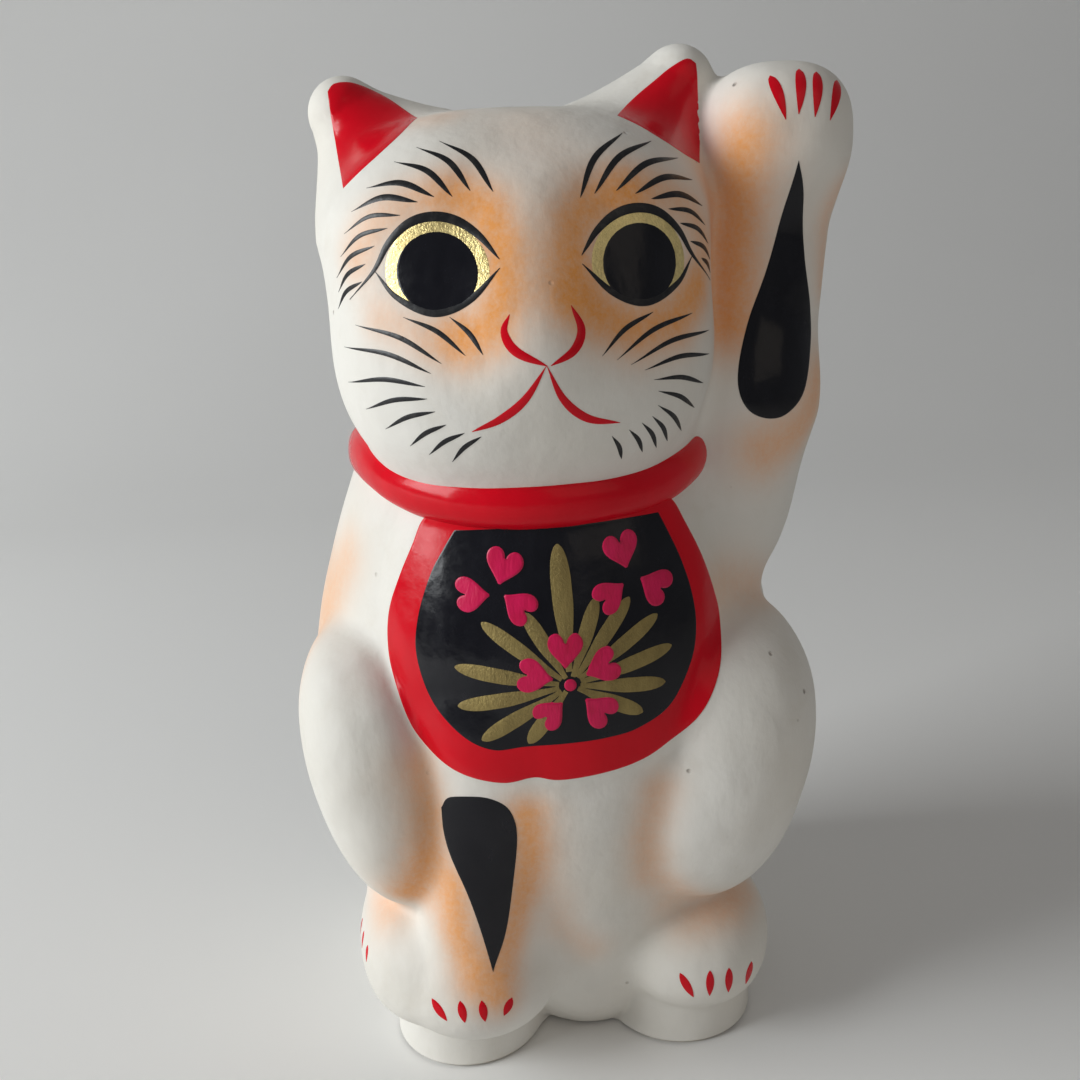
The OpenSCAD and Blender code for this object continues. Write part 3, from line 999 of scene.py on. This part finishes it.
RIM_COAT, FIELD_COAT = 0.22, 0.36  # the black is painted over the red
BIB = [  # down the left edge, along the bottom and up the right edge
    (-18.5, 107), (-21.9, 104.2), (-24.0, 99.9), (-26.4, 94.8), (-28.6, 88.9), (-29.3, 83.2), (-28.6, 78.0),
    (-25.5, 69.6), (-20.2, 64.7), (-12.1, 62.7), (-6.8, 63.6), (-2.0, 62.9), (9.4, 64.4), (16.0, 67.0),
    (21.0, 70.9), (25.0, 77.5), (26.5, 83.8), (25.6, 89.0), (23.4, 95.5), (20.6, 101.4), (18.8, 104.8),
    (16, 107),
]
FIELD = [  # down the right edge, along the bottom and up the left edge
    (15.8, 103.9), (17.4, 100.5), (19.3, 96.0), (20.9, 90.5), (21.4, 85), (20.2, 79.5), (16.2, 73.2),
    (10.4, 70.4), (5.0, 69.6), (-1.0, 69.3), (-8.0, 69.0), (-13.1, 68.6), (-17.9, 70.7), (-22.4, 75.5),
    (-24.5, 82.5), (-23.9, 88.7), (-21.4, 95.8), (-18.8, 100.4), (-17.0, 103.2),
]
FIELD_TOP = [(-17.0, 103.2), (-9.9, 103.7), (-0.6, 103.8), (9.2, 104.0), (15.8, 103.9)]


def heart(middle, point):
    """A petal's outline, from its middle to its point."""
    t = np.linspace(0, 2 * math.pi, 44, endpoint=False)
    along = (13 * np.cos(t) - 5 * np.cos(2 * t) - 2 * np.cos(3 * t) - np.cos(4 * t) + 2) / -15
    across = 16 * np.sin(t) ** 3 / 15 * 0.86
    way = np.array(point, float) - np.array(middle, float)
    side = np.array([-way[1], way[0]])
    return np.array(middle) + along[:, None] * way + across[:, None] * side


NEEDLE_TIPS = [(-1.2, 101.0), (-7.0, 90.9), (-13.6, 89.2), (-18.2, 81.9), (-18.1, 75.5), (-14.7, 70.4),
               (-7.4, 69.8), (4.4, 92.5), (9.7, 91.9), (14.2, 88.5), (16.4, 83.1), (15.1, 77.4),
               (11.1, 73.2)]
HEARTS = [((-9.7, 97.6), (-10.7, 94.5)), ((-14.5, 93.4), (-11.4, 93.5)), ((-7.9, 92.0), (-10.3, 93.9)),
          ((9.0, 98.9), (9.7, 95.7)), ((13.9, 93.1), (11.2, 94.9)), ((6.9, 92.7), (9.4, 94.4)),
          ((-0.9, 84.5), (-1.0, 81.2)), ((4.5, 81.6), (1.4, 80.4)), ((3.8, 75.0), (1.4, 77.2)),
          ((-3.5, 75.0), (-1.3, 77.0)), ((-5.6, 80.8), (-2.4, 80.1))]
FLOWER = (-0.4, 79.2)


def bib():
    """The red rim, the black field, the gold needles and the pink blossoms on it."""
    rim = cornered(BIB, [BIB[-1], (0, 106), BIB[0]])
    painted("bib_rim", FRONT, [filled(rim, RIM_COAT, 1.0)], RED)
    field = cornered(FIELD, FIELD_TOP)
    black_shape("bib_field", FRONT, field, FIELD_COAT)
    needles = []
    for tip in NEEDLE_TIPS:
        start = tuple(f + 0.1 * (t - f) for f, t in zip(FLOWER, tip))
        width = 3.2 if tip == NEEDLE_TIPS[0] else 2.4  # the upright needle is the widest
        needles.append(brushed(bowed((start, tip), 0.0), width, 0.14, needle_like, FIELD_COAT))
    painted("pine_needles", FRONT, needles, BIB_GOLD)
    turn = np.linspace(0, 2 * math.pi, 20, endpoint=False)
    dot = np.array(FLOWER) + 1.05 * np.stack([np.cos(turn), np.sin(turn)], 1)
    petals = [filled(heart(*h), 0.7, 0.9) for h in HEARTS]
    painted("blossom_petals", FRONT, petals + [filled(dot, 0.8, 0.7)], PINK)


PATCH = 0.16  # height of the black patches


def back_patches():
    """Black patches on the back of the head and paw, on the back and on the tail."""
    crown = [(-7, 25), (3, 27.5), (11.5, 25), (15, 12), (11, 0), (2, -6), (-8, -3), (-12, 9)]
    crown = curve(crown, True)
    paw = [(-43, 30), (-39.5, 33.4), (-35.5, 31), (-33, 22), (-36, 14), (-42, 13), (-45, 20)]
    paw = curve(paw, True)
    loin = curve([(-26, 84), (-18, 90), (-8, 84), (-6, 74), (-14, 64), (-24, 66), (-29, 75)], True)
    tip = curve([(-17.5, 47), (-13, 54.6), (-8, 52), (-8.5, 44), (-12, 38), (-17, 39)], True)
    black_shape("crown_patch", ABOVE_BACK, crown, PATCH, 1.4)
    black_shape("paw_patch", ABOVE_BACK, paw, PATCH, 1.2)
    black_shape("loin_patch", BACK, loin, PATCH, 1.4)
    black_shape("tail_tip", BACK, tip, PATCH)


BASE_MIDDLE = np.array([0, 3.0])
OVERHANG = 0.35  # how far the cover paper lies inside the plinth's outline
LIP = 0.12  # its edge lifts a little from the table


def base():
    """The thin paper glued under the plinth, cut to its outline."""
    turn = np.linspace(0, 2 * math.pi, 220, endpoint=False)
    way = np.stack([np.cos(turn), np.sin(turn)], 1)
    far = np.full(len(turn), 5.0)
    for _ in range(60):
        x, y = (way * far[:, None] + BASE_MIDDLE).T
        far = far - (plinth_plan(x, y) + OVERHANG) * 0.8
    reach = way * far[:, None]
    rings = [BASE_MIDDLE + reach * share for share in (0.35, 0.7, 0.97, 1.0)]
    flat = np.concatenate([BASE_MIDDLE[None]] + rings)
    count = len(turn)
    after = [(i + 1) % count for i in range(count)]
    faces = [(0, 1 + i, 1 + after[i]) for i in range(count)]
    for r in range(len(rings) - 1):
        low = 1 + r * count
        high = low + count
        for i in range(count):
            faces.append((low + i, high + i, high + after[i], low + after[i]))
    lift = np.zeros(len(flat))
    lift[-count:] = LIP
    top = np.column_stack([flat, np.full(len(flat), RIM_Z)])
    bottom = np.column_stack([flat, lift])
    piece("cover_sheet", np.concatenate([top, bottom]), thickened(faces, len(flat)), COVER,
          replaced=("base_paper",))


def carried_over():
    """The pieces inside keep their CAD shape and get their own finish."""
    finishes = {"seam_strip_left": STRIP, "seam_strip_top": STRIP, "seam_strip_right": STRIP,
                "base_board": BOARD, "ballast_weight": CLAY}
    for name, finish in finishes.items():
        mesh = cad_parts[name].data
        mesh.materials.clear()
        mesh.materials.append(finish)


# ---- camera, floor and light


CAMERA_AT = (-15.7, -203.3, 148.4)
RIGHT, DOWN, ONWARD = (0.9954, -0.0854, -0.0428), (-0.0645, -0.2714, -0.9603), (0.0704, 0.9587, -0.2756)


def camera():
    """Seen from in front, a little to the left and from above the head, close up."""
    data = bpy.data.cameras.new("camera")
    data.lens = 36.17
    data.sensor_width = 36
    data.clip_start = 0.005
    made = bpy.data.objects.new("camera", data)
    bpy.context.scene.collection.objects.link(made)
    turn = Matrix((RIGHT, [-v for v in DOWN], [-v for v in ONWARD])).transposed()
    made.matrix_world = Matrix.Translation(Vector(CAMERA_AT) * MM) @ turn.to_4x4()
    bpy.context.scene.camera = made


SWEEP_Y, SWEEP_R = 0.4, 0.6  # where the floor starts to curve up, and its radius, in metres
BELOW = 0.0001  # the floor lies just under the figure


def floor():
    """A pale sweep: a floor that curves up into a backdrop."""
    profile = [(-3.0, 0.0), (SWEEP_Y, 0.0)]
    for i in range(1, 13):
        a = math.radians(90 * i / 12)
        profile.append((SWEEP_Y + SWEEP_R * math.sin(a), SWEEP_R - SWEEP_R * math.cos(a)))
    profile.append((SWEEP_Y + SWEEP_R, 4.0))
    points = [(x, y, z - BELOW) for x in (-4.0, 4.0) for y, z in profile]
    n = len(profile)
    faces = [(i, n + i, n + i + 1, i + 1) for i in range(n - 1)]
    mesh = bpy.data.meshes.new("floor")
    mesh.from_pydata(points, [], faces)
    mesh.polygons.foreach_set("use_smooth", [True] * len(faces))
    made = bpy.data.objects.new("floor", mesh)
    bpy.context.scene.collection.objects.link(made)
    pale, tree, surface = shader("pale_floor", (0.86, 0.85, 0.83), 0.8)
    tone = ranged(tree, noise(tree, 2.5, 2), 0.3, 0.7)
    coloured(tree, surface, tone, (0.87, 0.86, 0.84), (0.84, 0.83, 0.81))
    mesh.materials.append(pale)


CHEST = Vector((0, 0, 0.09))


def lamp(name, at, size, power, colour):
    """A soft square lamp aimed at the figure's chest."""
    data = bpy.data.lights.new(name, "AREA")
    data.shape = "SQUARE"
    data.size = size
    data.energy = power
    data.color = colour
    made = bpy.data.objects.new(name, data)
    bpy.context.scene.collection.objects.link(made)
    made.location = at
    made.rotation_euler = (CHEST - Vector(at)).to_track_quat("-Z", "Y").to_euler()


def lights():
    """A cool window at the viewer's left, a weak warm lamp in front, and a dim even sky."""
    world = bpy.data.worlds.new("studio")
    bpy.context.scene.world = world
    world.use_nodes = True
    sky = world.node_tree.nodes["Background"]
    sky.inputs["Color"].default_value = (0.95, 0.97, 1.0, 1)
    sky.inputs["Strength"].default_value = 0.19
    lamp("window", (-0.92, -0.20, 0.46), 0.55, 9.0, (0.95, 0.985, 1.0))
    lamp("room", (0.5, -0.9, 0.75), 0.9, 0.9, (1.0, 0.86, 0.70))
    bpy.context.scene.view_settings.view_transform = "Standard"


points, normals, held, front_faces, back_faces = skin()
shell("front_skin", points, normals, held, front_faces, WHITE, ("front_shell",))
shell("back_skin", points, normals, held, back_faces, WHITE, ("back_shell",))
base()
carried_over()
ears()
eyes()
face_strokes()
muzzle()
claws()
drops()
collar_roll()
bib()
back_patches()
camera()
floor()
lights()
